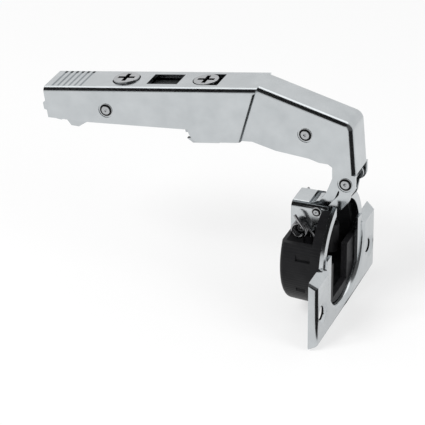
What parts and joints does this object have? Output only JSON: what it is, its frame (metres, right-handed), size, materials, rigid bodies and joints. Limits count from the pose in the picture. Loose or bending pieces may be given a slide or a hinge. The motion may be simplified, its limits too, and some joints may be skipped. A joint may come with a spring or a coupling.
{
  "type": "concealed cup hinge",
  "caption": "Concealed cup hinge for a blind corner, clip-on arm, two links and a screw-on cup, shown opened.",
  "frame": {"origin": "centre of the cup on the back of its flange, the face that rests on the door", "axes": "+X along the cup axis out of its mouth, Y along the hinge pins, +Z from the cup towards the arm"},
  "size_m": [0.1027, 0.0568, 0.0731],
  "materials": {
    "plated_sheet": "nickel plated stamped sheet, satin",
    "plated_pin": "nickel plated turned steel",
    "plated_screw": "nickel plated cold formed steel",
    "spring_wire": "drawn spring wire",
    "black_plastic": "moulded, fine grain",
    "grey_plastic": "moulded, smooth"
  },
  "bodies": {
    "carrier": {"clip_carrier": "plated_sheet", "lever_axle": "plated_pin"},
    "arm": {"hinge_arm": "plated_sheet", "nose_rivet": "plated_pin", "arm_rivet": "plated_pin", "rear_rivet": "plated_pin"},
    "depth_screw": {"depth_screw": "plated_screw"},
    "side_screw": {"side_screw": "plated_screw"},
    "outer_link": {"outer_link": "plated_sheet"},
    "inner_link": {"inner_link": "plated_sheet"},
    "cup": {"cup_flange": "plated_sheet", "cup_body": "black_plastic", "damper_cover": "black_plastic", "cup_bracket": "plated_sheet", "upper_pin": "plated_pin", "lower_pin": "plated_pin", "closing_spring_left": "spring_wire", "closing_spring_right": "spring_wire", "damper_cylinder": "grey_plastic"},
    "plunger": {"damper_plunger": "black_plastic"},
    "lever": {"clip_lever": "plated_sheet"}
  },
  "joints": [
    {"name": "depth_slide", "type": "slide", "parent": "carrier", "child": "arm", "axis": [0.989, 0, 0.1478], "range_m": [-0.002, 0.003]},
    {"name": "depth_screw_turn", "type": "hinge", "parent": "arm", "child": "depth_screw", "pos_m": [-0.06906, 0, 0.04562], "axis": [-0.1478, 0, 0.989], "range_deg": [-100, 150]},
    {"name": "side_screw_turn", "type": "hinge", "parent": "arm", "child": "side_screw", "pos_m": [-0.04285, 0, 0.04953], "axis": [-0.1478, 0, 0.989], "continuous": true},
    {"name": "outer_link_swing", "type": "hinge", "parent": "arm", "child": "outer_link", "pos_m": [0.0036, 0, 0.026], "axis": [0, -1, 0], "range_deg": [-12, 0]},
    {"name": "cup_fold", "type": "hinge", "parent": "outer_link", "child": "cup", "pos_m": [-0.0102, 0, 0.0092], "axis": [0, -1, 0], "range_deg": [0, 107]},
    {"name": "inner_link_swing", "type": "hinge", "parent": "cup", "child": "inner_link", "pos_m": [-0.0054, 0, 0.015], "axis": [0, -1, 0], "range_deg": [-126, 0]},
    {"name": "clip_release", "type": "hinge", "parent": "carrier", "child": "lever", "pos_m": [-0.07891, 0, 0.03646], "axis": [0, 1, 0], "range_deg": [0, 12], "stiffness_Nm_per_rad": 0.05},
    {"name": "damper_stroke", "type": "slide", "parent": "cup", "child": "plunger", "axis": [0, 0, 1], "range_m": [-0.003, 0], "stiffness_N_per_m": 100}
  ],
  "couplings": [
    {"joint": "outer_link_swing", "follows": "cup_fold", "ratio": -0.11215},
    {"joint": "inner_link_swing", "follows": "cup_fold", "ratio": -1.1776},
    {"joint": "depth_screw_turn", "follows": "depth_slide", "rad_per_m": 872.66}
  ]
}
